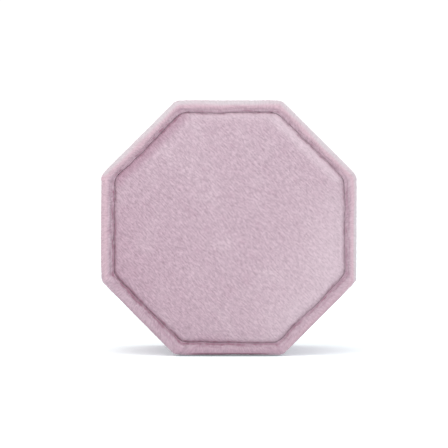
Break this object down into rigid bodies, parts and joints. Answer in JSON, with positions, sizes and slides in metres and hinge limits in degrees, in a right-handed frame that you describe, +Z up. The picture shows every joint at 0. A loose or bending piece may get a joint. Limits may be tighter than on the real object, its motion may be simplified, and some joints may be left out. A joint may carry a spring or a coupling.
{
  "type": "ring box",
  "caption": "Octagonal velvet ring box with a lift-off lid on an inner collar, a padded lid panel in a rolled rim, and a slotted ring cushion inside.",
  "frame": {"origin": "bottom centre of the bounding box, on the surface that the box's lowest side rests on", "axes": "+Z up, +Y along the box's axis from the lid to the base, so the padded lid face looks along -Y; +X to the right seen from the lid"},
  "size_m": [0.056, 0.042, 0.056],
  "materials": {
    "outer_velvet": "matte",
    "inner_velvet": "matte",
    "satin": "satin",
    "shell_plastic": "matte",
    "grey_board": "matte",
    "foam": "matte"
  },
  "bodies": {
    "base": {"base_shell": "shell_plastic", "base_outer_velvet": "outer_velvet", "bottom_panel_board": "grey_board", "bottom_panel_velvet": "outer_velvet", "collar_ring": "shell_plastic", "collar_velvet": "inner_velvet", "pad_riser_foam": "foam", "pad_carrier_board": "grey_board", "pad_foam_lower": "foam", "pad_foam_middle": "foam", "pad_foam_upper": "foam", "pad_velvet_lower": "inner_velvet", "pad_velvet_middle": "inner_velvet", "pad_velvet_upper": "inner_velvet"},
    "lid": {"lid_shell": "shell_plastic", "lid_outer_velvet": "outer_velvet", "top_panel_board": "grey_board", "top_panel_foam": "foam", "top_panel_velvet": "outer_velvet", "ceiling_board": "grey_board", "ceiling_foam": "foam", "ceiling_satin": "satin"}
  },
  "joints": [
    {"name": "lid_slide", "type": "slide", "parent": "base", "child": "lid", "axis": [0, -1, 0], "range_m": [0, 0.06]}
  ]
}
